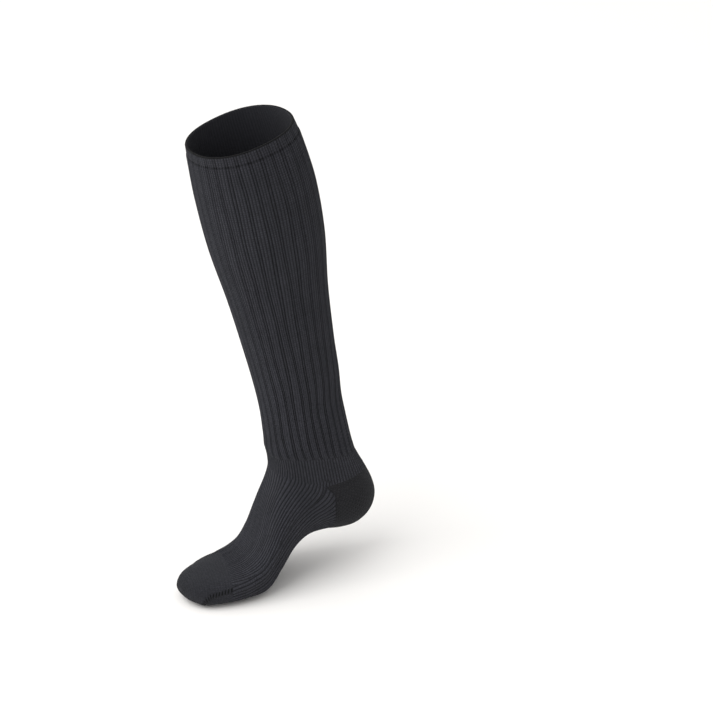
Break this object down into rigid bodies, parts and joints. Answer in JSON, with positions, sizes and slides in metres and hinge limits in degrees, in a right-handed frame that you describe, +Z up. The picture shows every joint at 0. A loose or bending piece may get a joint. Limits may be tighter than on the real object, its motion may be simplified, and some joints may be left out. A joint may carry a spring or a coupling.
{
  "type": "compression stocking",
  "caption": "Knee-high compression stocking in dark grey rib knit, in its worn form: open cuff with a welt, ribbed leg, plain heel and toe pockets, fine-ribbed foot.",
  "frame": {"origin": "middle of the opening at the cuff, where the stocking is held up by the leg in it", "axes": "+X to the inner side of the right leg, -Y where the toes point, +Z up; toes and ball of the foot lie on a level floor"},
  "size_m": [0.1149, 0.2045, 0.4491],
  "materials": {
    "knit": "dark grey heather rib knit, matt"
  },
  "bodies": {
    "root": {"toe_pocket": "knit", "instep": "knit", "sole": "knit", "heel_pocket": "knit", "ankle": "knit", "leg_low": "knit", "leg_calf": "knit", "leg_upper": "knit", "cuff_welt": "knit"}
  },
  "joints": []
}
